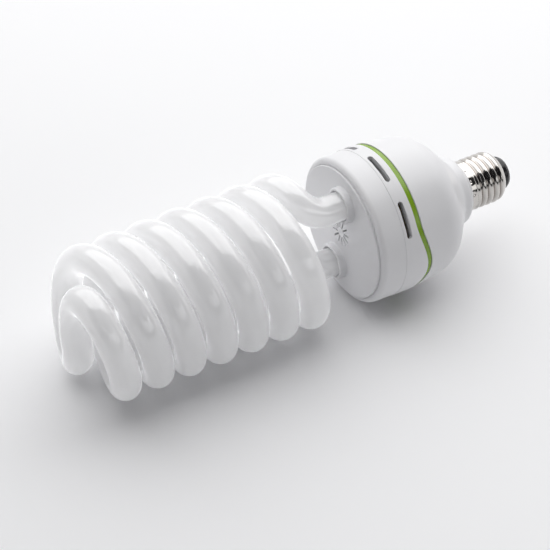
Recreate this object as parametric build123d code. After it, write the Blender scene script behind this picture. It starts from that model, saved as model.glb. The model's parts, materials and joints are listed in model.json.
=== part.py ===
from build123d import *
from math import atan, cos, degrees, pi, radians, sin
import os

# Spiral fluorescent lamp with a screw cap, in millimetres.
# It is drawn along its own axis, +X towards the cap, with the face of the front disc at x = 0.
# Angles run round that axis from +Y towards +Z. At the end the lamp is laid on its coil, +Z up.

# Discharge tube: two straight legs, two elbows, a double coil and a bar across the axis at the tip
tube_radius = 7.1
strand_gap = 1.93
leg_length = 11.0
leg_inner_length = 11.0
leg_angle = 97.0
coil_radius = 31.3
elbow_rise = 12.0
coil_taper = 0.013
coil_start = -28.5
half_turns = 7
steps_per_turn = 16
elbow_turn_steps = 1.5
elbow_shares = (0.0, 0.11, 0.313, 0.563, 0.691, 0.836, 0.932)
elbow_leg_reach = 12.0
elbow_coil_reach = 16.0
tip_turn_steps = 2.5
tip_steps = 6
tip_power = 5.2
tip_reach = 6.4

# Front cover
barrel_radius = 37.65
barrel_wall = 2.65
barrel_draft = 0.3
crease_x = 13.4
crease_step = 0.2
front_draft = 0.2
shoulder_width = 3.25
shoulder_bend = 3.2
disc_step = 1.0
disc_edge = 0.5
moulding_wall = 2.2
collar_height = 3.6
collar_wall = 1.4
collar_gap = 0.5
collar_edge = 0.7
star_count = 12
star_inner = 2.6
star_outer = 7.2
star_width = 1.0
slot_width = 2.7
slot_length = 18.0
slot_rise = 2.9
slot_angles = (143.0, 98.5, 54.0)
spigot_wall = 2.0
spigot_length = 8.0
ledge_width = 2.0
ledge_depth = 4.0

# Trim ring: a band that follows a level line and rises to two crests towards the cap
ring_width = 2.5
ring_x = 22.3
ring_crest = 5.0
ring_crest_angle = 9.0
ring_crest_half = 42.0
ring_sink = 0.6
ring_points = 30
joint_gap = 0.1

# Rear housing: the corners of its outline before rounding
dome_corner = 46.2
dome_drop = 2.75
dome_bend = 18.0
neck_corner = 60.3
neck_bend = 4.0
neck_draft = 0.85
neck_edge = 64.9
neck_edge_bend = 3.5
neck_shoulder = 3.2
neck_end = 68.1
neck_rim = 1.0
neck_spigot_length = 9.0
neck_wall = 1.7

# Screw cap
cap_radius = 13.1
cap_wall = 0.4
cap_length = 19.9
cap_taper_length = 2.8
cap_lip_drop = 3.1
insulator_plug = 1.8
insulator_inset = 0.8
insulator_band = 2.4
insulator_cone = 1.8
insulator_end_radius = 7.6
contact_radius = 5.0
contact_height = 1.2
contact_edge = 0.5

# Ballast board and what stands on it
board_clearance = 0.4
board_thickness = 1.6
lead_radius = 0.4
mains_lead_radius = 0.8
neutral_inset = 3.1
neutral_bend = 2.0
filament_spread = 2.8
cement_wall = 2.4
cement_height = 5.0
choke_width = 20.0
choke_height = 19.0
choke_depth = 8.0
choke_leg = 6.0
choke_yoke = 3.0
choke_centre = -15.5
bobbin_wall = 0.8
winding_depth = 3.0
smoothing_radius = 8.0
smoothing_height = 26.0
smoothing_centre = 11.0
transistor_width = 10.0
transistor_depth = 4.5
transistor_height = 9.0
transistor_tab = 6.5
transistor_tab_depth = 1.3
transistor_lift = 3.0
transistor_leg = 0.7
transistor_pitch = 2.54
transistor_place = (22.0, -7.0)
resonant_box = (12.0, 13.0, 7.0)
resonant_place = (-14.0, 18.0)
film_box = (9.0, 10.0, 5.0)
film_places = ((14.0, 20.0), (14.0, 13.0))
toroid_outer = 5.0
toroid_inner = 2.6
toroid_height = 5.0
toroid_place = (-15.5, 4.0)
toroid_turn = 0.7
diode_radius = 1.35
diode_height = 5.2
diode_pitch = 4.2
diode_place = (15.0, 5.0)
resistor_radius = 1.2
resistor_height = 6.5
resistor_pitch = 4.0
resistor_place = (-14.0, -8.0)
fuse_radius = 2.0
fuse_height = 10.0
fuse_place = (-24.5, 7.0)
filter_radius = 4.0
filter_height = 11.0
filter_place = (24.0, 7.0)

# Worked-out sizes
coil_pitch = 2 * (2 * tube_radius + strand_gap)
step_angle = 360 / steps_per_turn
elbow_turn = elbow_turn_steps * step_angle
tip_turn = tip_turn_steps * step_angle
full_turn = 180 * half_turns
leg_circle_radius = coil_radius - elbow_rise
collar_bore = tube_radius + collar_gap
crease_radius = barrel_radius - barrel_draft - crease_step
barrel_front_radius = crease_radius - front_draft
disc_radius = barrel_front_radius - shoulder_width
spigot_radius = barrel_radius - barrel_wall
spigot_start = ring_x - ring_width / 2 - moulding_wall
spigot_end = spigot_start + moulding_wall + ring_width + spigot_length
board_front = spigot_start + ledge_depth
board_back = board_front + board_thickness
board_radius = spigot_radius - spigot_wall - board_clearance
dome_corner_radius = barrel_radius - dome_drop
neck_radius = cap_radius + neck_rim
neck_edge_radius = neck_radius + neck_shoulder
neck_corner_radius = neck_edge_radius + neck_draft
cap_lip_radius = cap_radius - cap_lip_drop
joint_radius = spigot_radius + joint_gap
cap_end = neck_end + cap_length + cap_taper_length
insulator_end = cap_end + insulator_band + insulator_cone


def polar(x, radius, angle):
    return Vector(x, radius * cos(radians(angle)), radius * sin(radians(angle)))


def turned_solid(points):
    # A closed outline of (x, radius) corners, turned round the axis
    outline = Polyline(*[(x, 0, radius) for x, radius in points], close=True)
    return revolve(make_face(outline), axis=Axis.X)


def post(place, radius, height, start):
    # A round post along +X that stands at place = (y, z)
    return extrude(Plane.YZ.offset(start) * Pos(*place) * Circle(radius), amount=height)


def block(place, size, start):
    # A box along +X with size = (height, width in y, width in z)
    height, wide, deep = size
    return Pos(start + height / 2, *place) * Box(height, wide, deep)


def leg_places():
    places = [polar(0, leg_circle_radius, angle) for angle in (leg_angle, leg_angle + 180)]
    return [(place.Y, place.Z) for place in places]


# Discharge tube
def centre_radius(x):
    return coil_radius + coil_taper * (x - coil_start)


def coil_x(turned):
    return coil_start - coil_pitch * (turned - elbow_turn) / 360


def coil_point(turned):
    # The corners stand outside the coil's centre line, so that each straight run touches it half way
    x = coil_x(turned)
    return polar(x, centre_radius(x) / cos(radians(step_angle / 2)), 90 - turned)


def elbow_point(share):
    # A cubic curve from the end of the leg to the first corner of the coil
    start = polar(-leg_length, leg_circle_radius, leg_angle)
    end = coil_point(elbow_turn)
    along = (coil_point(elbow_turn + step_angle) - end).normalized()
    leaving = start - Vector(elbow_leg_reach, 0, 0)
    arriving = end - along * elbow_coil_reach
    rest = 1 - share
    return start * rest**3 + leaving * 3 * rest**2 * share + arriving * 3 * rest * share**2 + end * share**3


def tip_point(share):
    # The strand leaves the coil, falls in to the axis ever faster and slopes on towards the tip
    coil_end = coil_x(full_turn - tip_turn)
    slope = coil_pitch * tip_turn / 360
    x = coil_end - slope * share - (tip_reach - slope) * share**2
    radius = centre_radius(coil_end) * (1 - share**tip_power)
    return polar(x, radius, 90 - full_turn + tip_turn * (1 - share))


def strand_points():
    # From the end inside the cover to the last corner before the axis
    points = [polar(leg_inner_length, leg_circle_radius, leg_angle)]
    points += [elbow_point(share) for share in elbow_shares]
    coil_steps = round((full_turn - elbow_turn - tip_turn) / step_angle)
    points += [coil_point(elbow_turn + step * step_angle) for step in range(coil_steps + 1)]
    shares = [1 - (1 - step / tip_steps) ** 1.6 for step in range(1, tip_steps)]
    return points + [tip_point(share) for share in shares]


def discharge_tube():
    strand = strand_points()
    other = [Vector(point.X, -point.Y, -point.Z) for point in reversed(strand)]
    path = Polyline(*strand, *other)
    section = Plane(origin=path @ 0, z_dir=path % 0) * Circle(tube_radius)
    return sweep(section, path=path, transition=Transition.RIGHT)


# Front cover, trim ring and rear housing
def ring_line(angle):
    # Height of the band's middle line along the axis
    away = (angle - ring_crest_angle + 90) % 180 - 90
    if abs(away) > ring_crest_half:
        return ring_x
    return ring_x + ring_crest * (1 + cos(pi * away / ring_crest_half)) / 2


def wavy_block(start, length):
    # A thick washer with the band's wave on both ends, start counted from the middle line
    angles = [360 * step / ring_points for step in range(ring_points)]
    edges = []
    for radius in (spigot_radius / 2, 2 * barrel_radius):
        points = [polar(ring_line(angle) + start, radius, angle) for angle in angles]
        edges.append(Spline(*points, periodic=True))
    return extrude(Face.make_surface_from_curves(*edges), amount=length, dir=(1, 0, 0))


def barrel_slot(angle):
    # A round-ended slot through the wall, along the barrel's circumference
    outward = polar(0, 1, angle)
    along = polar(0, 1, angle + 90)
    middle = Vector(crease_x + slot_rise, 0, 0) + outward * (spigot_radius - moulding_wall)
    slot = Plane(origin=middle, x_dir=along, z_dir=outward) * SlotOverall(slot_length, slot_width)
    return extrude(slot, amount=2 * moulding_wall + barrel_radius - spigot_radius)


def cover_barrel():
    # Disc, shoulder and barrel wall, up to the wavy edge
    end = ring_x + ring_crest
    shoulder = FilletPolyline(
        (disc_step, 0, disc_radius),
        (disc_step, 0, barrel_front_radius),
        (crease_x, 0, crease_radius),
        radius=shoulder_bend,
    )
    rest = Polyline(
        (crease_x, 0, crease_radius),
        (crease_x, 0, crease_radius + crease_step),
        (end, 0, barrel_radius),
        (end, 0, spigot_radius),
        (disc_step + shoulder_bend, 0, spigot_radius),
        (moulding_wall, 0, disc_radius - moulding_wall),
        (moulding_wall, 0, 0),
        (0, 0, 0),
        (0, 0, disc_radius - disc_edge),
        (disc_edge, 0, disc_radius),
        (disc_step, 0, disc_radius),
    )
    barrel = revolve(make_face(shoulder + rest), axis=Axis.X)
    return barrel - wavy_block(-ring_width / 2 - joint_gap, 2 * ring_crest + ring_width)


def cover_spigot():
    # The sleeve that fits inside the rear housing, with the ledge that carries the board
    inner = spigot_radius - spigot_wall
    return turned_solid(
        [
            (spigot_start, spigot_radius),
            (spigot_end, spigot_radius),
            (spigot_end, inner),
            (board_front, inner),
            (board_front, inner - ledge_width),
            (spigot_start, inner - ledge_width),
        ]
    )


def front_cover():
    cover = cover_barrel() + cover_spigot()
    for y, z in leg_places():
        collar = extrude(Plane.YZ * Pos(y, z) * Circle(collar_bore + collar_wall), amount=-collar_height)
        cover += chamfer(collar.edges().sort_by(Axis.X)[0], collar_edge)
    for place in leg_places():
        cover -= post(place, collar_bore, collar_height + moulding_wall, -collar_height)
    reach = star_outer - star_inner
    vent = Pos(moulding_wall / 2, star_inner + reach / 2, 0) * Box(2 * moulding_wall, reach, star_width)
    for turn in range(star_count):
        cover -= Rot(360 * (turn + 0.5) / star_count, 0, 0) * vent
    for angle in slot_angles:
        cover = cover - barrel_slot(angle) - barrel_slot(angle + 180)
    return cover


def trim_ring():
    low = ring_x - ring_width
    high = ring_x + ring_crest + ring_width
    outer = barrel_radius - ring_sink
    band = turned_solid([(low, joint_radius), (low, outer), (high, outer), (high, joint_radius)])
    return band & wavy_block(-ring_width / 2, ring_width)


def rear_housing():
    spigot = cap_radius - cap_wall - joint_gap
    bore = spigot - neck_wall
    outside = FilletPolyline(
        (ring_x, 0, barrel_radius),
        (dome_corner, 0, dome_corner_radius),
        (neck_corner, 0, neck_corner_radius),
        (neck_edge, 0, neck_edge_radius),
        (neck_end, 0, neck_radius),
        radius=(dome_bend, neck_bend, neck_edge_bend),
    )
    inside = Polyline(
        (neck_end, 0, neck_radius),
        (neck_end, 0, spigot),
        (neck_end + neck_spigot_length, 0, spigot),
        (neck_end + neck_spigot_length, 0, bore),
        (neck_end, 0, bore),
        (neck_edge - 0.5 * moulding_wall, 0, neck_edge_radius - 0.9 * moulding_wall),
        (neck_corner - 0.5 * moulding_wall, 0, neck_corner_radius - 0.9 * moulding_wall),
        (dome_corner - 0.8 * moulding_wall, 0, dome_corner_radius - 1.45 * moulding_wall),
        (spigot_end + moulding_wall, 0, joint_radius),
        (ring_x, 0, joint_radius),
        (ring_x, 0, barrel_radius),
    )
    housing = revolve(make_face(outside + inside), axis=Axis.X)
    return housing - wavy_block(ring_width / 2 + joint_gap - ring_x, ring_x)


# Screw cap
def screw_shell():
    taper_start = neck_end + cap_length
    return turned_solid(
        [
            (neck_end, cap_radius - cap_wall),
            (neck_end, cap_radius),
            (taper_start, cap_radius),
            (cap_end, cap_lip_radius),
            (cap_end, cap_lip_radius - cap_wall),
            (taper_start, cap_radius - cap_wall),
        ]
    )


def cap_insulator():
    taper_start = neck_end + cap_length
    plug = cap_radius - cap_wall - joint_gap
    lip = cap_lip_radius - cap_wall - joint_gap
    hole = mains_lead_radius + joint_gap
    return turned_solid(
        [
            (taper_start - insulator_plug, hole),
            (taper_start - insulator_plug, plug),
            (taper_start, plug),
            (cap_end, lip),
            (cap_end, lip - insulator_inset),
            (cap_end + insulator_band, lip - insulator_inset),
            (insulator_end, insulator_end_radius),
            (insulator_end, hole),
        ]
    )


def centre_contact():
    disc = post((0, 0), contact_radius, contact_height, insulator_end)
    return chamfer(disc.edges().sort_by(Axis.X)[-1], contact_edge)


# What the lamp holds inside
def tube_cement():
    beads = []
    for place in leg_places():
        bead = post(place, tube_radius + cement_wall, cement_height, moulding_wall)
        beads.append(bead - post(place, tube_radius, cement_height, moulding_wall))
    return beads


def tube_leads():
    length = board_front - leg_inner_length
    leads = []
    for y, z in leg_places():
        leads += [post((y + side * filament_spread, z), lead_radius, length, leg_inner_length) for side in (-1, 1)]
    return leads


def circuit_board():
    return post((0, 0), board_radius, board_thickness, board_front)


def choke_core():
    body = block((0, choke_centre), (choke_height, choke_width, choke_depth), board_back)
    window = (choke_width - 2 * choke_yoke - choke_leg) / 2
    for side in (-1, 1):
        place = (side * (choke_leg + window) / 2, choke_centre)
        body -= block(place, (choke_height - 2 * choke_yoke, window, 2 * choke_depth), board_back + choke_yoke)
    return body


def bobbin_section(spare):
    return choke_leg + 2 * joint_gap + 2 * spare, choke_depth + 2 * joint_gap + 2 * spare


def choke_bobbin():
    height = choke_height - 2 * choke_yoke - 2 * joint_gap
    start = board_back + choke_yoke + joint_gap
    place = (0, choke_centre)
    spool = block(place, (height, *bobbin_section(bobbin_wall)), start)
    for flange_start in (start, start + height - bobbin_wall):
        spool += block(place, (bobbin_wall, *bobbin_section(bobbin_wall + winding_depth)), flange_start)
    return spool - block(place, (height, *bobbin_section(0)), start)


def choke_winding():
    height = choke_height - 2 * choke_yoke - 2 * joint_gap - 2 * bobbin_wall
    start = board_back + choke_yoke + joint_gap + bobbin_wall
    place = (0, choke_centre)
    coil = block(place, (height, *bobbin_section(bobbin_wall + winding_depth - joint_gap)), start)
    return coil - block(place, (height, *bobbin_section(bobbin_wall)), start)


def transistor(side):
    y, z = transistor_place
    y *= side
    start = board_back + transistor_lift
    body = block((y, z), (transistor_height, transistor_depth, transistor_width), start)
    tab_y = y + side * (transistor_depth - transistor_tab_depth) / 2
    tab = (transistor_tab, transistor_tab_depth, transistor_width)
    body += block((tab_y, z), tab, start + transistor_height)
    for step in (-1, 0, 1):
        leg = (transistor_lift, transistor_leg, transistor_leg)
        body += block((y, z + step * transistor_pitch), leg, board_back)
    return body


def drive_core():
    ring = post(toroid_place, toroid_outer, toroid_height, board_back + toroid_turn)
    return ring - post(toroid_place, toroid_inner, toroid_height, board_back + toroid_turn)


def drive_windings():
    # Three windings, each a flat loop of wire round the ring's section
    y, z = toroid_place
    wide = toroid_outer - toroid_inner
    loops = []
    for angle in (90, 210, 330):
        middle = (toroid_outer + toroid_inner) / 2
        loop = Box(toroid_height + 2 * toroid_turn, wide + 2 * toroid_turn + 2 * joint_gap, 2 * toroid_turn)
        loop -= Box(toroid_height, wide + 2 * joint_gap, 2 * toroid_turn)
        place = Pos(board_back + toroid_turn + toroid_height / 2, y, z) * Rot(angle, 0, 0) * Pos(0, middle, 0)
        loops.append(place * loop)
    return loops


def rectifier_diodes():
    y, z = diode_place
    corners = [(y + a * diode_pitch / 2, z + b * diode_pitch / 2) for a in (-1, 1) for b in (-1, 1)]
    return [post(place, diode_radius, diode_height, board_back) for place in corners]


def resistors():
    y, z = resistor_place
    places = [(y, z + step * resistor_pitch) for step in (-1, 0, 1)]
    return [post(place, resistor_radius, resistor_height, board_back) for place in places]


def neutral_lead():
    # From the board through the neck, then out to the inside of the screw shell
    turn_x = neck_end + neck_spigot_length + 2 * neutral_bend
    shell = cap_radius - cap_wall - joint_gap
    away = shell - neutral_inset
    route = FilletPolyline(
        (board_back, away, 0), (turn_x, away, 0), (turn_x, shell, 0), radius=neutral_bend
    )
    return sweep(Plane.YZ.offset(board_back) * Pos(away, 0) * Circle(mains_lead_radius), path=route)


pieces = {
    "discharge_tube": discharge_tube(),
    "front_cover": front_cover(),
    "trim_ring": trim_ring(),
    "rear_housing": rear_housing(),
    "screw_shell": screw_shell(),
    "cap_insulator": cap_insulator(),
    "centre_contact": centre_contact(),
    "tube_cement": tube_cement(),
    "tube_leads": tube_leads(),
    "circuit_board": circuit_board(),
    "choke_core": choke_core(),
    "choke_bobbin": choke_bobbin(),
    "choke_winding": choke_winding(),
    "smoothing_capacitor": post((0, smoothing_centre), smoothing_radius, smoothing_height, board_back),
    "resonant_capacitor": block(resonant_place, resonant_box, board_back),
    "film_capacitors": [block(place, film_box, board_back) for place in film_places],
    "drive_transformer_core": drive_core(),
    "drive_transformer_windings": drive_windings(),
    "transistor_left": transistor(-1),
    "transistor_right": transistor(1),
    "rectifier_diodes": rectifier_diodes(),
    "resistors": resistors(),
    "fuse_resistor": post(fuse_place, fuse_radius, fuse_height, board_back),
    "filter_choke": post(filter_place, filter_radius, filter_height, board_back),
    "live_lead": post((0, 0), mains_lead_radius, insulator_end - board_back, board_back),
    "neutral_lead": neutral_lead(),
}

# Lay the lamp on its coil: the taper is levelled, then the box's bottom centre becomes the origin
tilt = Rot(0, -degrees(atan(coil_taper)), 0)
laid = {}
for name, piece in pieces.items():
    group = piece if isinstance(piece, list) else [piece]
    laid[name] = [tilt * solid for shape in group for solid in shape.solids()]
box = Compound([solid for solids in laid.values() for solid in solids]).bounding_box()
home = Pos(-(box.min.X + box.max.X) / 2, -(box.min.Y + box.max.Y) / 2, -box.min.Z)

os.makedirs("parts", exist_ok=True)
for name, solids in laid.items():
    export_step(Compound([home * solid for solid in solids]), f"parts/{name}.step")
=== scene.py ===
import json

import bpy
import numpy as np
from mathutils import Matrix


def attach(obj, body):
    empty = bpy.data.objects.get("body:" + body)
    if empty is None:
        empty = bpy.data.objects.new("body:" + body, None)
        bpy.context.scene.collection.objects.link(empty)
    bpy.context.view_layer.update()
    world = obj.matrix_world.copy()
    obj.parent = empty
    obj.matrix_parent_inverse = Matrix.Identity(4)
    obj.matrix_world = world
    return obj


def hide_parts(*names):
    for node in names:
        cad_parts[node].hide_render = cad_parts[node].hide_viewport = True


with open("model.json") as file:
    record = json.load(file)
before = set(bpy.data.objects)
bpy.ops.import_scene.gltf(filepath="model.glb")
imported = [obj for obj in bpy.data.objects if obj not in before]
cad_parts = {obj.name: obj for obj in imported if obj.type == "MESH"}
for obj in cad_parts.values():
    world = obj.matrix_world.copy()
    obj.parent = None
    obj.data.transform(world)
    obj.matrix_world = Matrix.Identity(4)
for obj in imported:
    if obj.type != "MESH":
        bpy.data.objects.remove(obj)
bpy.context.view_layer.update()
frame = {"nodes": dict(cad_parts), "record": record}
print("frame loaded:", len(frame["nodes"]), "nodes")

# Sizes are millimetres along the lamp's own axis: x from the face of the front disc, + towards the cap,
# angles from +Y towards +Z. The frame's contact mount says how that axis lies.
lamp = dict(contactMount="contact_face", contactX=96.2)
mount = next(m for m in frame["record"]["mounts"] if m["name"] == lamp["contactMount"])
axisDir = np.array(mount["axis"]) / np.linalg.norm(mount["axis"])
turn = np.array([[axisDir[0], 0, -axisDir[2]], [0, 1, 0], [axisDir[2], 0, axisDir[0]]])
discCentre = 1000 * np.array(mount["pos_m"]) - lamp["contactX"] * axisDir


def laid(points):
    # Turn the axis to its lying slope, move the disc's centre to its place, millimetres to metres
    return (np.asarray(points, float) @ turn.T + discCentre) / 1000


def polar(x, radius, angle):
    # A point at radius and angle round the axis
    x, radius, angle = np.broadcast_arrays(x, radius, angle)
    return np.stack([x, radius * np.cos(angle), radius * np.sin(angle)], -1)


def smoothStep(value):
    # 0 below 0, 1 above 1 and 3v2 - 2v3 between
    value = np.clip(value, 0, 1)
    return value * value * (3 - 2 * value)


# Meshes from grids

def ringFaces(rings, around, wrap):
    # Quads between ring i and ring i + 1, each ring closed on itself; wrap joins the last ring to the first
    i, j = np.meshgrid(np.arange(rings if wrap else rings - 1), np.arange(around), indexing="ij")
    ahead, beside = (i + 1) % rings, (j + 1) % around
    quads = np.stack([i * around + j, ahead * around + j, ahead * around + beside, i * around + beside], -1)
    return quads.reshape(-1, 4)


def closedShell(grid, wrap):
    # Points and faces of one closed skin; without wrap each end ring is closed by a fan to its own middle
    rings, around = grid.shape[:2]
    points, faces = grid.reshape(-1, 3), ringFaces(rings, around, wrap).tolist()
    if not wrap:
        points = np.concatenate([points, [grid[0].mean(0), grid[-1].mean(0)]])
        j = np.arange(around)
        beside = (j + 1) % around
        last = (rings - 1) * around
        start = np.stack([np.full(around, rings * around), j, beside], -1)
        end = np.stack([np.full(around, rings * around + 1), last + beside, last + j], -1)
        faces += start.tolist() + end.tolist()
    fans = np.array([[f[0], f[k], f[k + 1]] for f in faces for k in range(1, len(f) - 1)])
    a, b, c = points[fans[:, 0]], points[fans[:, 1]], points[fans[:, 2]]
    if np.einsum("ij,ij->i", a, np.cross(b, c)).sum() < 0:
        faces = [f[::-1] for f in faces]
    return points, faces


def meshOf(name, shells, sharpAngle=40):
    # One mesh object from closed skins in axis millimetres
    points, faces, used = [], [], 0
    for shellPoints, shellFaces in shells:
        points.append(laid(shellPoints))
        faces += [[k + used for k in f] for f in shellFaces]
        used += len(shellPoints)
    mesh = bpy.data.meshes.new(name)
    mesh.from_pydata(np.concatenate(points).tolist(), [], faces)
    mesh.validate()
    piece = bpy.data.objects.new(name, mesh)
    bpy.context.scene.collection.objects.link(piece)
    softEdges(piece, sharpAngle)
    return piece


def softEdges(piece, sharpAngle=40):
    piece.data.shade_smooth()
    piece.data.set_sharp_from_angle(angle=np.radians(sharpAngle))


def carve(piece, tool, operation):
    # Exact Boolean of two closed meshes, applied, with the tool removed
    change = piece.modifiers.new(operation, "BOOLEAN")
    change.operation, change.solver, change.object = operation, "EXACT", tool
    bpy.context.view_layer.update()
    done = bpy.data.meshes.new_from_object(piece.evaluated_get(bpy.context.evaluated_depsgraph_get()))
    piece.modifiers.clear()
    piece.data = done
    bpy.data.objects.remove(tool)
    softEdges(piece)


def rounded(corners, closed=False, stepAngle=10):
    # Profile from (x, radius, bend, slide) corners: a bend becomes a tangent arc, slide is kept
    corners = np.array(corners, float)
    count, out = len(corners), []
    for k, (x, radius, bend, slide) in enumerate(corners):
        if bend == 0 or (not closed and k in (0, count - 1)):
            out.append([[x, radius, slide]])
            continue
        here = np.array([x, radius])
        back = corners[k - 1, :2] - here
        ahead = corners[(k + 1) % count, :2] - here
        back, ahead = back / np.linalg.norm(back), ahead / np.linalg.norm(ahead)
        half = np.arccos(np.clip(back @ ahead, -1, 1)) / 2
        middle = here + (back + ahead) / np.linalg.norm(back + ahead) * bend / np.sin(half)
        first = here + back * bend / np.tan(half) - middle
        last = here + ahead * bend / np.tan(half) - middle
        sweep = np.pi - 2 * half
        share = np.linspace(0, 1, max(3, int(np.ceil(np.degrees(sweep) / stepAngle)) + 1))[:, None]
        arc = middle + (np.sin((1 - share) * sweep) * first + np.sin(share * sweep) * last) / np.sin(sweep)
        out.append(np.column_stack([arc, np.full(len(arc), slide)]))
    return np.concatenate(out)


def filled(profile, gap):
    # The same profile with points added on runs longer than gap
    step = np.linalg.norm(np.diff(profile[:, :2], axis=0), axis=1)
    along = np.concatenate([[0], np.cumsum(step)])
    runs = [(a, b) for a, b in zip(along, along[1:]) if b > a]
    extra = [np.linspace(a, b, int(np.ceil((b - a) / gap)), endpoint=False) for a, b in runs]
    stations = np.concatenate(extra + [[along[-1]]])
    return np.stack([np.interp(stations, along, column) for column in profile.T], -1)


def turned(profile, around, shift=0.0):
    # Ring i is profile point i carried round the axis; shift slides each ring point along the axis
    angle = np.arange(around) * 2 * np.pi / around
    return polar(profile[:, 0, None] + shift, profile[:, 1, None], angle[None])


# Materials: every finish is a Principled shader with noise on its colour, gloss or surface

noiseSpan = (0.3, 0.7)


def newFinish(name, baseColor, roughness, **sockets):
    finish = bpy.data.materials.new(name)
    finish.use_nodes = True
    shader = finish.node_tree.nodes["Principled BSDF"]
    shader.inputs["Base Color"].default_value = (*baseColor, 1)
    shader.inputs["Roughness"].default_value = roughness
    for socket, value in sockets.items():
        shader.inputs[socket].default_value = value
    return finish, finish.node_tree.nodes, finish.node_tree.links, shader


def noiseOn(nodes, links, scale, detail=3.0, stretch=(1, 1, 1)):
    # Noise in Object coordinates, scale counted per metre
    place = nodes.new("ShaderNodeTexCoord")
    mapping = nodes.new("ShaderNodeMapping")
    mapping.inputs["Scale"].default_value = stretch
    noise = nodes.new("ShaderNodeTexNoise")
    noise.inputs["Scale"].default_value = scale
    noise.inputs["Detail"].default_value = detail
    links.new(place.outputs["Object"], mapping.inputs["Vector"])
    links.new(mapping.outputs["Vector"], noise.inputs["Vector"])
    return noise


def tintBetween(nodes, links, noise, shader, low, high):
    # Colour from low to high over the noise's usual span
    ramp = nodes.new("ShaderNodeValToRGB")
    for stop, at, color in zip(ramp.color_ramp.elements, noiseSpan, (low, high)):
        stop.position = at
        stop.color = (*color, 1)
    links.new(noise.outputs["Fac"], ramp.inputs["Fac"])
    links.new(ramp.outputs["Color"], shader.inputs["Base Color"])


def glossBetween(nodes, links, noise, shader, low, high):
    # Roughness from low to high over the same span
    spread = nodes.new("ShaderNodeMapRange")
    spread.inputs["From Min"].default_value, spread.inputs["From Max"].default_value = noiseSpan
    spread.inputs["To Min"].default_value, spread.inputs["To Max"].default_value = low, high
    links.new(noise.outputs["Fac"], spread.inputs["Value"])
    links.new(spread.outputs["Result"], shader.inputs["Roughness"])


def bumpFrom(nodes, links, noise, shader, height, strength):
    # Surface relief with height in metres
    bump = nodes.new("ShaderNodeBump")
    bump.inputs["Distance"].default_value = height
    bump.inputs["Strength"].default_value = strength
    links.new(noise.outputs["Fac"], bump.inputs["Height"])
    links.new(bump.outputs["Normal"], shader.inputs["Normal"])


def milkyGlass():
    # Clear glass over a white coat that passes about half of the light into the hollow tube and out again
    finish, nodes, links, shader = newFinish("milkyGlass", (0.35, 0.35, 0.354), 0.012, IOR=1.8)
    coat = noiseOn(nodes, links, scale=60, detail=2)
    tintBetween(nodes, links, coat, shader, (0.34, 0.34, 0.344), (0.36, 0.36, 0.364))
    wave = noiseOn(nodes, links, scale=45, detail=1)
    bumpFrom(nodes, links, wave, shader, height=0.0002, strength=0.08)
    passed = nodes.new("ShaderNodeBsdfTranslucent")
    passed.inputs["Color"].default_value = (0.545, 0.545, 0.547, 1)
    inside = nodes.new("ShaderNodeBsdfDiffuse")
    inside.inputs["Color"].default_value = (0.4, 0.4, 0.4, 1)
    side = nodes.new("ShaderNodeMixShader")
    face = nodes.new("ShaderNodeNewGeometry")
    both = nodes.new("ShaderNodeAddShader")
    links.new(face.outputs["Backfacing"], side.inputs["Fac"])
    links.new(shader.outputs["BSDF"], side.inputs[1])
    links.new(inside.outputs["BSDF"], side.inputs[2])
    links.new(side.outputs["Shader"], both.inputs[0])
    links.new(passed.outputs["BSDF"], both.inputs[1])
    links.new(both.outputs["Shader"], nodes["Material Output"].inputs["Surface"])
    return finish


def whiteMoulding():
    # Satin injection moulding with a very fine grain
    finish, nodes, links, shader = newFinish("whiteMoulding", (0.8, 0.8, 0.815), 0.38, IOR=1.5)
    cloud = noiseOn(nodes, links, scale=35, detail=3)
    tintBetween(nodes, links, cloud, shader, (0.79, 0.788, 0.805), (0.812, 0.81, 0.827))
    grain = noiseOn(nodes, links, scale=2600, detail=2)
    glossBetween(nodes, links, cloud, shader, low=0.34, high=0.42)
    bumpFrom(nodes, links, grain, shader, height=0.00003, strength=0.25)
    return finish


def greenMoulding():
    finish, nodes, links, shader = newFinish("greenMoulding", (0.21, 0.37, 0.02), 0.22, IOR=1.5)
    cloud = noiseOn(nodes, links, scale=50, detail=3)
    tintBetween(nodes, links, cloud, shader, (0.2, 0.355, 0.015), (0.235, 0.39, 0.022))
    grain = noiseOn(nodes, links, scale=2600, detail=2)
    bumpFrom(nodes, links, grain, shader, height=0.00003, strength=0.25)
    return finish


def nickelPlate():
    # Bright plated sheet with faint drawing marks round the axis, and painted shade that darkens it down in
    # the thread
    finish, nodes, links, shader = newFinish("nickelPlate", (0.6, 0.575, 0.55), 0.12, Metallic=1.0)
    marks = noiseOn(nodes, links, scale=300, detail=4, stretch=(6, 1, 1))
    # Painted shade: a dark brown is mixed into the plate where sunk is high, down in the thread
    sunk = nodes.new("ShaderNodeAttribute")
    sunk.attribute_name = "sunk"
    plate, paintedShade = nodes.new("ShaderNodeMix"), nodes.new("ShaderNodeMix")
    plate.data_type, paintedShade.data_type = "RGBA", "RGBA"
    plate.inputs[6].default_value = (0.56, 0.54, 0.515, 1)
    plate.inputs[7].default_value = (0.63, 0.61, 0.585, 1)
    paintedShade.inputs[7].default_value = (0.3, 0.27, 0.25, 1)
    links.new(marks.outputs["Fac"], plate.inputs[0])
    links.new(sunk.outputs["Fac"], paintedShade.inputs[0])
    links.new(plate.outputs[2], paintedShade.inputs[6])
    links.new(paintedShade.outputs[2], shader.inputs["Base Color"])
    glossBetween(nodes, links, marks, shader, low=0.08, high=0.16)
    bumpFrom(nodes, links, marks, shader, height=0.00004, strength=0.3)
    return finish


def blackGlass():
    finish, nodes, links, shader = newFinish("blackGlass", (0.012, 0.012, 0.014), 0.22, IOR=1.45)
    cloud = noiseOn(nodes, links, scale=250, detail=3)
    tintBetween(nodes, links, cloud, shader, (0.01, 0.01, 0.012), (0.02, 0.02, 0.022))
    bumpFrom(nodes, links, cloud, shader, height=0.0001, strength=0.3)
    return finish


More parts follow.
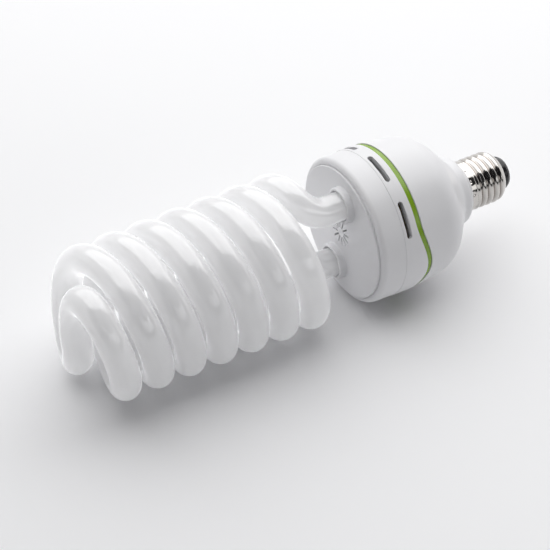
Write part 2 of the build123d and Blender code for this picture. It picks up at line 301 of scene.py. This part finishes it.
def solderedBrass():
    # Dull solder over a brass disc
    finish, nodes, links, shader = newFinish("solderedBrass", (0.7, 0.66, 0.56), 0.35, Metallic=1.0)
    blotch = noiseOn(nodes, links, scale=420, detail=4)
    tintBetween(nodes, links, blotch, shader, (0.74, 0.6, 0.36), (0.7, 0.69, 0.66))
    glossBetween(nodes, links, blotch, shader, low=0.25, high=0.45)
    bumpFrom(nodes, links, blotch, shader, height=0.0001, strength=0.5)
    return finish


def innerFinish(name, low, high, roughness, scale, metal=0.0):
    # Plain finish with speckle for what the housing hides
    finish, nodes, links, shader = newFinish(name, low, roughness, Metallic=metal)
    speckle = noiseOn(nodes, links, scale, detail=4)
    tintBetween(nodes, links, speckle, shader, low, high)
    bumpFrom(nodes, links, speckle, shader, height=0.00005, strength=0.4)
    return finish


def dress(piece, finish, node):
    piece.data.materials.clear()
    piece.data.materials.append(finish)
    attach(piece, "root")
    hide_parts(node)
    print("made", piece.name, len(piece.data.polygons), "faces")


# Discharge tube

tube = dict(
    radius=7.07, endShare=0.75, legOffset=19.3, legAngle=97.0, legInside=11.0, legEnd=-11.0,
    elbowTurn=33.75, elbowLegReach=12.0, elbowCoilReach=16.0, leanStart=-10.0, leanReach=16.0,
    coilStart=-28.5, coilRadius=31.3, pitch=32.26, taper=0.013, fullTurn=1260.0,
    tipTurn=56.25, tipReach=6.05, tipPower=5.2,
    around=40, legPoints=12, elbowPoints=40, coilPoints=460, tipPoints=44, tipCrowding=1.4,
)


def coilPoint(turned):
    # Helix: x falls by one pitch per turn, the radius follows the taper, the angle runs back from +Z
    x = tube["coilStart"] - tube["pitch"] * (turned - tube["elbowTurn"]) / 360
    return polar(x, tube["coilRadius"] + tube["taper"] * (x - tube["coilStart"]), np.radians(90 - turned))


def elbowLine(share):
    # Cubic from the end of the leg, along the leg, to the start of the coil, along the coil
    start = polar(tube["legEnd"], tube["legOffset"], np.radians(tube["legAngle"]))
    end = coilPoint(tube["elbowTurn"])
    along = coilPoint(tube["elbowTurn"] + 0.01) - end
    leaving = start - np.array([tube["elbowLegReach"], 0, 0])
    arriving = end - along / np.linalg.norm(along) * tube["elbowCoilReach"]
    s = share[:, None]
    return start * (1 - s) ** 3 + leaving * 3 * (1 - s) ** 2 * s + arriving * 3 * (1 - s) * s**2 + end * s**3


def tipLine(share):
    # The strand falls in to the axis ever faster, 1 - share^power, and slopes on towards the tip
    last = tube["fullTurn"] - tube["tipTurn"]
    coilEnd = coilPoint(last)
    slope = tube["pitch"] * tube["tipTurn"] / 360
    x = coilEnd[0] - slope * share - (tube["tipReach"] - slope) * share**2
    radius = np.hypot(coilEnd[1], coilEnd[2]) * (1 - share ** tube["tipPower"])
    return polar(x, radius, np.radians(90 - tube["fullTurn"] + tube["tipTurn"] * (1 - share)))


def tubeCentreLine():
    # Leg, elbow, coil and tip of one strand, then the other strand, which is the first turned half round
    legX = np.linspace(tube["legInside"], tube["legEnd"], tube["legPoints"])
    leg = polar(legX, tube["legOffset"], np.radians(tube["legAngle"]))
    elbow = elbowLine(np.linspace(0, 1, tube["elbowPoints"]))
    coil = coilPoint(np.linspace(tube["elbowTurn"], tube["fullTurn"] - tube["tipTurn"], tube["coilPoints"]))
    tip = tipLine(1 - (1 - np.linspace(0, 1, tube["tipPoints"])) ** tube["tipCrowding"])
    strand = np.concatenate([leg[:-1], elbow[:-1], coil[:-1], tip])
    line = np.concatenate([strand, (strand * [1, -1, -1])[-2::-1]])
    # The section's first direction leans from radial on the legs to axial on the coil
    lean = smoothStep((tube["leanStart"] - line[:, 0]) / tube["leanReach"])[:, None]
    outward = line * [0, 1, 1] / np.maximum(np.hypot(line[:, 1], line[:, 2]), 1)[:, None]
    return line, outward * (1 - lean) + np.array([1.0, 0, 0]) * lean


def glassTube():
    # A circle carried square to the centre line; the end rings shrink to close the legs inside the cover
    line, lean = tubeCentreLine()
    tangent = np.gradient(line, axis=0)
    tangent /= np.linalg.norm(tangent, axis=1)[:, None]
    first = lean - np.einsum("ij,ij->i", lean, tangent)[:, None] * tangent
    first /= np.linalg.norm(first, axis=1)[:, None]
    second = np.cross(tangent, first)
    angle = np.arange(tube["around"]) * 2 * np.pi / tube["around"]
    circle = np.cos(angle)[None, :, None] * first[:, None] + np.sin(angle)[None, :, None] * second[:, None]
    radius = np.full(len(line), tube["radius"])
    radius[[0, -1]] *= tube["endShare"]
    return closedShell(line[:, None] + radius[:, None, None] * circle, wrap=False)


glass = meshOf("glassTube", [glassTube()])
dress(glass, milkyGlass(), "discharge_tube")

# Front cover, trim ring and rear housing share the wavy joint

joint = dict(x=22.3, crest=5.0, crestAngle=9.0, crestHalf=42.0, width=2.5, gap=0.1, around=288)


def crestWave(around):
    # Level line with two raised cosine crests half a turn apart
    angle = np.arange(around) * 360 / around
    away = (angle - joint["crestAngle"] + 90) % 180 - 90
    rise = joint["crest"] * (1 + np.cos(np.pi * away / joint["crestHalf"])) / 2
    return np.where(np.abs(away) < joint["crestHalf"], rise, 0.0)


cover = dict(
    discRadius=33.7, discEdge=0.45, discStep=1.0, groove=0.4, grooveBend=0.1, shoulder=3.2, hub=0.6,
    frontRadius=36.95, creaseX=13.4, creaseRadius=37.15, creaseStep=0.2, creaseBend=0.06,
    endRadius=37.52, endBend=0.22,
    spigotRadius=35.0, spigotWall=2.0, spigotEnd=31.55, spigotBend=0.3, wall=2.2, innerBend=1.0,
    ledge=2.0, ledgeStart=18.85, ledgeBend=0.2, boardFront=22.85,
    collarRadius=9.0, collarHeight=3.6, collarLip=0.65, collarRoot=0.6, collarRootBend=0.55,
    collarFoot=0.8, collarToe=0.02,
    boreRadius=7.6, boreFlare=0.35, boreEase=0.05, boreEaseLength=0.3, cutOver=1.0,
    starCount=12, starInner=2.6, starOuter=7.2, starWidth=0.8, starFlare=0.1, starFlareDepth=0.15,
    slotX=16.3, slotLength=18.0, slotWidth=2.7, slotAngles=(143.0, 98.5, 54.0), slotFlare=0.25,
    slotEdge=0.25, slotSink=1.5, longestRun=2.5,
)


def stadium(length, width, count=40):
    # Outline of a round-ended slot, as a half circle at each end
    angle = (np.arange(count) + 0.5) * 2 * np.pi / count
    across, along = np.sin(angle) * width / 2, np.cos(angle) * width / 2
    return np.stack([along + np.sign(np.cos(angle)) * (length - width) / 2, across], -1)


def slotCutter(length, width, middle, along, across, depths, grows):
    # The outline at each depth, grown by the flare near the outer face
    depthWay = np.cross(along, across)
    rings = []
    for depth, grow in zip(depths, grows):
        outline = stadium(length + 2 * grow, width + 2 * grow)
        rings.append(middle + outline[:, :1] * along + outline[:, 1:] * across + depth * depthWay)
    return closedShell(np.array(rings), wrap=False)


def aroundLeg(profile, side, around=72):
    # Rings of (x, radius) round the axis of one leg
    angle = np.arange(around) * 2 * np.pi / around
    grid = polar(profile[:, 0, None], profile[:, 1, None], angle[None])
    return closedShell(grid + side * polar(0, tube["legOffset"], np.radians(tube["legAngle"])), wrap=False)


def coverShell():
    # Profile from the disc's middle over the barrel to the wavy end, along the sleeve and back inside
    barrelEnd = joint["x"] - joint["width"] / 2 - joint["gap"]
    inner = cover["spigotRadius"] - cover["spigotWall"]
    corners = [
        (0, cover["hub"], 0, 0),
        (0, cover["discRadius"], cover["discEdge"], 0),
        (cover["discStep"] + cover["groove"], cover["discRadius"], cover["grooveBend"], 0),
        (cover["discStep"] + cover["groove"], cover["discRadius"] + cover["groove"], cover["grooveBend"], 0),
        (cover["discStep"], cover["discRadius"] + cover["groove"], cover["creaseBend"], 0),
        (cover["discStep"], cover["frontRadius"], cover["shoulder"] - cover["groove"], 0),
        (cover["creaseX"], cover["creaseRadius"], cover["creaseBend"], 0),
        (cover["creaseX"], cover["creaseRadius"] + cover["creaseStep"], cover["creaseBend"], 0),
        (barrelEnd, cover["endRadius"], cover["endBend"], 1),
        (barrelEnd, cover["spigotRadius"], 0, 1),
        (cover["spigotEnd"], cover["spigotRadius"], cover["spigotBend"], 0),
        (cover["spigotEnd"], inner, cover["spigotBend"], 0),
        (cover["boardFront"], inner, 0, 0),
        (cover["boardFront"], inner - cover["ledge"], cover["ledgeBend"], 0),
        (cover["ledgeStart"], inner - cover["ledge"], cover["ledgeBend"], 0),
        (cover["ledgeStart"], cover["spigotRadius"], 0, 0),
        (cover["discStep"] + cover["shoulder"], cover["spigotRadius"], cover["innerBend"], 0),
        (cover["wall"], cover["discRadius"] - cover["wall"], cover["innerBend"], 0),
        (cover["wall"], cover["hub"], 0, 0),
    ]
    profile = filled(rounded(corners), cover["longestRun"])
    grid = turned(profile, joint["around"], profile[:, 2, None] * crestWave(joint["around"])[None])
    return closedShell(grid, wrap=False)


def collarShells():
    # A ring round each leg: flared root in the disc, straight side, rounded lip
    top, foot, root = -cover["collarHeight"], cover["collarFoot"], cover["collarRadius"] + cover["collarRoot"]
    corners = [
        (foot, cover["hub"], 0, 0),
        (foot, root, 0, 0),
        (-cover["collarToe"], root, 0, 0),
        (-2 * cover["collarToe"], cover["collarRadius"], cover["collarRootBend"], 0),
        (top, cover["collarRadius"], cover["collarLip"], 0),
        (top, cover["hub"], 0, 0),
    ]
    profile = rounded(corners)
    return [aroundLeg(profile, side) for side in (1, -1)]


def openingCutters():
    # Bores with a flared lip, the star of vents and the six slots in the barrel
    top, wall, over, flare = -cover["collarHeight"], cover["wall"], cover["cutOver"], cover["boreFlare"]
    depths = (top - over, top + flare, top + flare + cover["boreEaseLength"], wall + over)
    bore = np.stack([depths, cover["boreRadius"] + np.array([flare + over, cover["boreEase"], 0, 0])], -1)
    shells = [aroundLeg(bore, side) for side in (1, -1)]
    axial = np.array([1.0, 0, 0])
    reach = cover["starOuter"] - cover["starInner"]
    for step in range(cover["starCount"]):
        angle = 2 * np.pi * (step + 0.5) / cover["starCount"]
        out, side = polar(0, 1, angle), polar(0, 1, angle + np.pi / 2)
        middle = out * (cover["starInner"] + reach / 2)
        depths = (-over / 2, 0, cover["starFlareDepth"], wall + over / 2)
        grows = (over / 2, cover["starFlare"], 0, 0)
        shells.append(slotCutter(reach, cover["starWidth"], middle, out, side, depths, grows))
    for angle in np.radians(cover["slotAngles"] + tuple(a + 180 for a in cover["slotAngles"])):
        side, middle = polar(0, 1, angle + np.pi / 2), axial * cover["slotX"]
        edge, flare = cover["creaseRadius"] + cover["slotEdge"], cover["slotFlare"]
        inside = cover["spigotRadius"] - cover["slotSink"]
        depths = (inside, edge - wall, edge - flare, edge, edge + 2 * over)
        grows = (0, 0, 0, flare, flare + 2 * over)
        shells.append(slotCutter(cover["slotLength"], cover["slotWidth"], middle, side, axial, depths, grows))
    return shells


frontCover = meshOf("frontCover", [coverShell()])
carve(frontCover, meshOf("collars", collarShells()), "UNION")
carve(frontCover, meshOf("openings", openingCutters()), "DIFFERENCE")
moulding = whiteMoulding()
dress(frontCover, moulding, "front_cover")

ring = dict(innerRadius=35.1, outerRadius=37.0, edge=0.2, crestDrop=0.115)


def ringShell():
    # A band of rounded section that follows the wave; its face sinks a little on the crests, with the housing
    low, high = joint["x"] - joint["width"] / 2, joint["x"] + joint["width"] / 2
    corners = [
        (low, ring["innerRadius"], 0, 0),
        (low, ring["outerRadius"], ring["edge"], 1),
        (high, ring["outerRadius"], ring["edge"], 1),
        (high, ring["innerRadius"], 0, 0),
    ]
    profile = rounded(corners, closed=True, stepAngle=18)
    wave = crestWave(joint["around"])
    grid = turned(profile, joint["around"], wave[None])
    drop = 1 - profile[:, 2, None] * ring["crestDrop"] * wave[None] / ring["outerRadius"]
    return closedShell(grid * np.stack([np.ones_like(drop), drop, drop], -1), wrap=True)


trimRing = meshOf("trimRing", [ringShell()])
dress(trimRing, greenMoulding(), "trim_ring")

housing = dict(
    startRadius=37.65, edge=0.22, waveEnd=38.0, domeX=46.2, domeRadius=34.9, domeBend=18.0,
    neckX=60.3, neckRadius=18.15, neckBend=4.0, neckEdge=64.9, neckEdgeRadius=17.3, neckEdgeBend=3.5,
    rimX=68.1, rimRadius=14.1, rimEdge=0.3, spigotEnd=77.1, spigotRadius=11.6, spigotRoot=0.2, spigotEdge=0.3,
    boreRadius=9.9, boreBend=1.0, innerRadius=35.1, innerStep=33.75, wall=2.2, neckInset=(0.5, 0.9),
    domeInset=(0.8, 1.45), neckEdgeInner=1.0, neckInner=2.0, domeInner=6.0, outerFrom=0.2, longestRun=2.0,
)


def housingShell():
    # From the joint over the dome to the neck's rim and back inside, stretched by the wave near the joint
    h = housing
    start = joint["x"] + joint["width"] / 2 + joint["gap"]
    fall = (h["domeRadius"] - h["startRadius"]) / (h["domeX"] - joint["x"])
    # Insets count in walls: how far a corner's inside lies back along the axis and in towards it
    neckBack, neckIn = (share * h["wall"] for share in h["neckInset"])
    domeBack, domeIn = (share * h["wall"] for share in h["domeInset"])
    corners = [
        (start, h["innerRadius"], 0, 1),
        (start, h["startRadius"] + fall * (start - joint["x"]), h["edge"], 1),
        (h["waveEnd"], h["startRadius"] + fall * (h["waveEnd"] - joint["x"]), 0, 0),
        (h["domeX"], h["domeRadius"], h["domeBend"], 0),
        (h["neckX"], h["neckRadius"], h["neckBend"], 0),
        (h["neckEdge"], h["neckEdgeRadius"], h["neckEdgeBend"], 0),
        (h["rimX"], h["rimRadius"], h["rimEdge"], 0),
        (h["rimX"], h["spigotRadius"], h["spigotRoot"], 0),
        (h["spigotEnd"], h["spigotRadius"], h["spigotEdge"], 0),
        (h["spigotEnd"], h["boreRadius"], h["spigotEdge"], 0),
        (h["rimX"], h["boreRadius"], h["boreBend"], 0),
        (h["neckEdge"] - neckBack, h["neckEdgeRadius"] - neckIn, h["neckEdgeInner"], 0),
        (h["neckX"] - neckBack, h["neckRadius"] - neckIn, h["neckInner"], 0),
        (h["domeX"] - domeBack, h["domeRadius"] - domeIn, h["domeInner"], 0),
        (h["innerStep"], h["innerRadius"], 0, 0),
    ]
    profile = filled(rounded(corners, closed=True, stepAngle=4), h["longestRun"])
    wave = crestWave(joint["around"])
    shift = profile[:, 2, None] * wave[None]
    grid = turned(profile, joint["around"], shift)
    outer = (profile[:, 1] > h["innerRadius"] + h["outerFrom"]) & (profile[:, 0] < h["waveEnd"])
    drop = 1 + np.where(outer[:, None], fall * shift, 0) / np.maximum(profile[:, 1, None], 1)
    return closedShell(grid * np.stack([np.ones_like(drop), drop, drop], -1), wrap=True)


rearHousing = meshOf("rearHousing", [housingShell()])
dress(rearHousing, moulding, "rear_housing")

# Screw cap

cap = dict(
    start=68.1, skirtEnd=71.5, threadEnd=87.6, end=90.7, skirtRadius=13.0, lipRadius=10.0, lipPower=1.5,
    wall=0.4, crestRadius=13.1, rootRadius=12.1, pitch=3.63, runIn=0.9, runOut=0.4, fadeLength=1.6,
    rootSharpness=0.14, crestLift=0.1, paintedShadePower=6, around=192, rows=110, sharpAngle=60,
    crimpX=69.3, crimpAngles=(107.7, 133.5, 161.5), crimpDepth=0.45, crimpSize=0.75,
)


def shellRadius(x, angle):
    # Plain skirt, then a round right-hand thread, the cosine of x / pitch less the share of a turn,
    # then a rounded taper to the lip; sunk is near 1 only along the bottom of the thread and sets the painted
    # shade there
    depth = (cap["crestRadius"] - cap["rootRadius"]) / 2
    middle = cap["rootRadius"] + depth
    base = np.interp(x, [cap["skirtEnd"], cap["skirtEnd"] + cap["runIn"]], [cap["skirtRadius"], middle])
    end = np.clip((x - cap["threadEnd"]) / (cap["end"] - cap["threadEnd"]), 0, 1)
    base = base - (base - cap["lipRadius"]) * end ** cap["lipPower"]
    fade = smoothStep((x - cap["skirtEnd"]) / cap["fadeLength"])
    fade = fade * smoothStep((cap["threadEnd"] + cap["runOut"] - x) / cap["fadeLength"])
    wave = 2 * np.pi * (x - cap["skirtEnd"]) / cap["pitch"] - angle
    thread = np.cos(wave) - cap["rootSharpness"] * np.cos(2 * wave) + cap["crestLift"]
    radius = base + fade * depth * thread
    # How much painted shade darkens the plate: near 1 only along the bottom of the thread
    sunk = fade * ((1 - np.cos(wave)) / 2) ** cap["paintedShadePower"]
    for crimp in np.radians(cap["crimpAngles"]):
        away = (np.angle(np.exp(1j * (angle - crimp))) * cap["skirtRadius"]) ** 2 + (x - cap["crimpX"]) ** 2
        radius = radius - cap["crimpDepth"] * np.exp(-away / cap["crimpSize"] ** 2)
    return radius, sunk


def screwShell():
    # Outer skin from the skirt to the lip, then the inner skin back, one wall inside it
    x = np.linspace(cap["start"], cap["end"], cap["rows"])[:, None]
    angle = (np.arange(cap["around"]) * 2 * np.pi / cap["around"])[None]
    outer, sunk = shellRadius(x, angle)
    grid = np.concatenate([polar(x, outer, angle), polar(x, outer - cap["wall"], angle)[::-1]])
    piece = meshOf("screwShell", [closedShell(grid, wrap=True)], cap["sharpAngle"])
    # The sunk attribute carries the painted shade of the thread's bottom to the plate's finish
    depth = piece.data.attributes.new("sunk", "FLOAT", "POINT")
    depth.data.foreach_set("value", np.concatenate([sunk, sunk[::-1]]).ravel())
    return piece


shell = screwShell()
dress(shell, nickelPlate(), "screw_shell")

capEnd = dict(
    plugX=86.2, plugRadius=11.0, plugTaper=0.3, plugTaperLength=2.0, lipX=90.6, lipRadius=9.5, lipBend=0.2,
    lipRise=0.1, glassRadius=8.7, bandX=93.2, bandBend=1.5, endX=95.0, endRadius=7.6, endBend=0.6, hub=0.5,
    contactRadius=5.0, contactDome=0.35, contactEdge=0.25, contactSink=0.2, domePoints=14, around=128,
)


def insulatorShell():
    # Black glass from inside the lip: a short band, a cone and a flat end
    c = capEnd
    corners = [
        (c["plugX"], c["hub"], 0, 0),
        (c["plugX"], c["plugRadius"], 0, 0),
        (c["lipX"] - c["plugTaperLength"], c["plugRadius"] - c["plugTaper"], 0, 0),
        (c["lipX"], c["lipRadius"], c["lipBend"], 0),
        (c["lipX"] + c["lipRise"], c["glassRadius"], c["lipBend"], 0),
        (c["bandX"], c["glassRadius"], c["bandBend"], 0),
        (c["endX"], c["endRadius"], c["endBend"], 0),
        (c["endX"], c["hub"], 0, 0),
    ]
    return closedShell(turned(rounded(corners), c["around"]), wrap=False)


def contactShell():
    # A low domed disc of solder on the glass
    c = capEnd
    top = lamp["contactX"] - c["contactDome"]
    share = np.linspace(0, 1, c["domePoints"])
    radius = c["contactRadius"] * np.sin(share * np.pi / 2)
    rise = c["contactDome"] * (1 - (radius / c["contactRadius"]) ** 2)
    dome = np.stack([top + rise, radius, 0 * radius], -1)[1:]
    foot, edge = c["endX"] - c["contactSink"], top - c["contactEdge"]
    side = np.array([(edge, c["contactRadius"], 0), (foot, c["contactRadius"], 0), (foot, c["hub"], 0)])
    return closedShell(turned(np.concatenate([dome, side]), c["around"]), wrap=False)


dress(meshOf("capInsulator", [insulatorShell()]), blackGlass(), "cap_insulator")
dress(meshOf("centreContact", [contactShell()]), solderedBrass(), "centre_contact")

# What the housing hides keeps its solids, each with its own finish

innerFinishes = {
    "cement": ((0.72, 0.7, 0.64), (0.84, 0.82, 0.77), 0.8, 500, 0.0),
    "tinnedWire": ((0.62, 0.62, 0.63), (0.78, 0.78, 0.79), 0.3, 900, 1.0),
    "boardLaminate": ((0.36, 0.24, 0.11), (0.45, 0.31, 0.15), 0.55, 300, 0.0),
    "ferrite": ((0.035, 0.035, 0.038), (0.075, 0.075, 0.08), 0.6, 700, 0.0),
    "blackMoulding": ((0.018, 0.018, 0.02), (0.035, 0.035, 0.037), 0.45, 600, 0.0),
    "enamelledCopper": ((0.48, 0.16, 0.06), (0.66, 0.27, 0.11), 0.3, 1500, 1.0),
    "capacitorSleeve": ((0.015, 0.02, 0.035), (0.03, 0.035, 0.055), 0.35, 200, 0.0),
    "filmCase": ((0.42, 0.12, 0.04), (0.52, 0.17, 0.06), 0.4, 300, 0.0),
    "resistorBody": ((0.5, 0.4, 0.26), (0.62, 0.51, 0.35), 0.5, 800, 0.0),
    "leadSleeve": ((0.74, 0.74, 0.72), (0.84, 0.84, 0.82), 0.5, 300, 0.0),
}
innerPieces = {
    "cement": ("tube_cement",),
    "tinnedWire": ("tube_leads",),
    "boardLaminate": ("circuit_board",),
    "ferrite": ("choke_core", "drive_transformer_core", "filter_choke"),
    "blackMoulding": ("choke_bobbin", "transistor_left", "transistor_right", "rectifier_diodes"),
    "enamelledCopper": ("choke_winding", "drive_transformer_windings"),
    "capacitorSleeve": ("smoothing_capacitor",),
    "filmCase": ("resonant_capacitor", "film_capacitors"),
    "resistorBody": ("resistors", "fuse_resistor"),
    "leadSleeve": ("live_lead", "neutral_lead"),
}
for name, nodes in innerPieces.items():
    finish = innerFinish(name, *innerFinishes[name])
    for node in nodes:
        piece = frame["nodes"][node]
        piece.data.materials.clear()
        piece.data.materials.append(finish)
print("inner finishes set:", len(innerPieces))

# Studio: pale floor, one broad softbox above and behind, a row of low panels in front, white surroundings
# and a black flag behind the camera, which the plated cap and the shaded sides show

studio = dict(
    floorSize=6.0, floorColor=(0.92, 0.92, 0.932), floorFade=(0.55, 1.1), worldDiffuse=0.2,
    keyPlace=(0.7, 0.6, 1.0), keyAim=(0.7, 0.33, 0.04), keySize=(2.8, 2.2), keyPower=31.0,
    panelAim=(-0.06, 0, 0.05), panelAngles=(-51.5, -73.0, -94.5), panelRise=0.32, panelAway=0.9,
    panelSize=(0.337, 0.27), panelPowers=(0.36, 0.32, 0.24),
    flagColor=(0.03, 0.03, 0.032), flagFoot=(-1.3, 0.02), flagTop=(-0.35, 1.7), flagHalf=2.5,
)


def softbox(name, place, size, power, aim):
    light = bpy.data.lights.new(name, "AREA")
    light.shape = "RECTANGLE"
    light.size, light.size_y, light.energy = size[0], size[1], power
    lampObject = bpy.data.objects.new(name, light)
    away = np.array(place) - np.array(aim)
    away = away / np.linalg.norm(away)
    side = np.cross((0, 0, 1), away)
    side = side / np.linalg.norm(side)
    look = np.column_stack([side, np.cross(away, side), away, place])
    lampObject.matrix_world = Matrix([*look.tolist(), [0, 0, 0, 1]])
    lampObject.visible_camera = False
    bpy.context.scene.collection.objects.link(lampObject)
    return lampObject


def stageCard(name, corners, color, darkest, roughness, gloss, noiseScale):
    # A flat card with a faint cloud on its colour
    mesh = bpy.data.meshes.new(name)
    mesh.from_pydata(corners, [], [(0, 1, 2, 3)])
    card = bpy.data.objects.new(name, mesh)
    bpy.context.scene.collection.objects.link(card)
    finish, nodes, links, shader = newFinish(name + "Card", color, roughness)
    cloud = noiseOn(nodes, links, noiseScale, detail=2)
    tintBetween(nodes, links, cloud, shader, darkest, color)
    shader.inputs["Specular IOR Level"].default_value = gloss
    mesh.materials.append(finish)
    return card


def fadeToWhite(finish, near, far):
    # Beyond near the camera sees the floor run into the white of the world, and only white from far on
    nodes, links = finish.node_tree.nodes, finish.node_tree.links
    place = nodes.new("ShaderNodeTexCoord")
    distance = nodes.new("ShaderNodeVectorMath")
    distance.operation = "LENGTH"
    spread = nodes.new("ShaderNodeMapRange")
    spread.interpolation_type = "SMOOTHSTEP"
    spread.inputs["From Min"].default_value, spread.inputs["From Max"].default_value = near, far
    path = nodes.new("ShaderNodeLightPath")
    share = nodes.new("ShaderNodeMath")
    share.operation = "MULTIPLY"
    white = nodes.new("ShaderNodeEmission")
    white.inputs["Color"].default_value = (1, 1, 1, 1)
    blend = nodes.new("ShaderNodeMixShader")
    links.new(place.outputs["Object"], distance.inputs[0])
    links.new(distance.outputs["Value"], spread.inputs["Value"])
    links.new(spread.outputs["Result"], share.inputs[0])
    links.new(path.outputs["Is Camera Ray"], share.inputs[1])
    links.new(share.outputs[0], blend.inputs["Fac"])
    links.new(nodes["Principled BSDF"].outputs["BSDF"], blend.inputs[1])
    links.new(white.outputs["Emission"], blend.inputs[2])
    links.new(blend.outputs["Shader"], nodes["Material Output"].inputs["Surface"])


def paleFloor():
    half, front, color = studio["floorSize"] / 2, studio["flagFoot"][0], studio["floorColor"]
    corners = [(-half, front, 0), (half, front, 0), (half, half, 0), (-half, half, 0)]
    darkest = tuple(c - 0.01 for c in color)
    floor = stageCard("floor", corners, color, darkest, roughness=0.6, gloss=0.2, noiseScale=3)
    fadeToWhite(floor.data.materials[0], *studio["floorFade"])


def blackFlag():
    # A leaning card from side to side that the camera does not see
    half, color = studio["flagHalf"], studio["flagColor"]
    (y, z), (topY, topZ) = studio["flagFoot"], studio["flagTop"]
    corners = [(-half, y, z), (half, y, z), (half, topY, topZ), (-half, topY, topZ)]
    darkest = tuple(0.6 * c for c in color)
    flag = stageCard("blackFlag", corners, color, darkest, roughness=0.9, gloss=0.1, noiseScale=40)
    flag.visible_camera = False


def whiteWorld():
    # White for camera, glossy and transmission rays, a lower level as fill on diffuse surfaces
    world = bpy.data.worlds.new("studioWhite")
    world.use_nodes = True
    bpy.context.scene.world = world
    nodes, links = world.node_tree.nodes, world.node_tree.links
    path = nodes.new("ShaderNodeLightPath")
    seen, also = nodes.new("ShaderNodeMath"), nodes.new("ShaderNodeMath")
    for either in (seen, also):
        either.operation, either.use_clamp = "ADD", True
    links.new(path.outputs["Is Camera Ray"], seen.inputs[0])
    links.new(path.outputs["Is Glossy Ray"], seen.inputs[1])
    links.new(seen.outputs[0], also.inputs[0])
    links.new(path.outputs["Is Transmission Ray"], also.inputs[1])
    level = nodes.new("ShaderNodeMapRange")
    level.inputs["To Min"].default_value, level.inputs["To Max"].default_value = studio["worldDiffuse"], 1.0
    links.new(also.outputs[0], level.inputs["Value"])
    links.new(level.outputs["Result"], nodes["Background"].inputs["Strength"])
    nodes["Background"].inputs["Color"].default_value = (1, 1, 1, 1)


paleFloor()
blackFlag()
whiteWorld()
softbox("keySoftbox", studio["keyPlace"], studio["keySize"], studio["keyPower"], studio["keyAim"])
for angle, power in zip(np.radians(studio["panelAngles"]), studio["panelPowers"]):
    away = studio["panelAway"] * np.array([np.cos(angle), np.sin(angle), studio["panelRise"]])
    softbox("frontPanel", away + studio["panelAim"], studio["panelSize"], power, studio["panelAim"])

view = dict(place=(-300.23, -461.06, 468.85), aim=(-36.39, 0, -11.32), focal=1500, image=550, sensor=36.0)
cameraData = bpy.data.cameras.new("camera")
cameraData.sensor_width = view["sensor"]
cameraData.lens = view["sensor"] * view["focal"] / view["image"]
cameraData.clip_start, cameraData.clip_end = 0.01, 50
camera = bpy.data.objects.new("camera", cameraData)
bpy.context.scene.collection.objects.link(camera)
eye, target = laid(view["place"]), laid(view["aim"])
back = (eye - target) / np.linalg.norm(eye - target)
side = np.cross(turn[:, 2], back)
side = side / np.linalg.norm(side)
look = np.column_stack([side, np.cross(back, side), back, eye])
camera.matrix_world = Matrix([*look.tolist(), [0, 0, 0, 1]])
bpy.context.scene.camera = camera
bpy.context.scene.view_settings.view_transform = "Standard"
print("studio set")
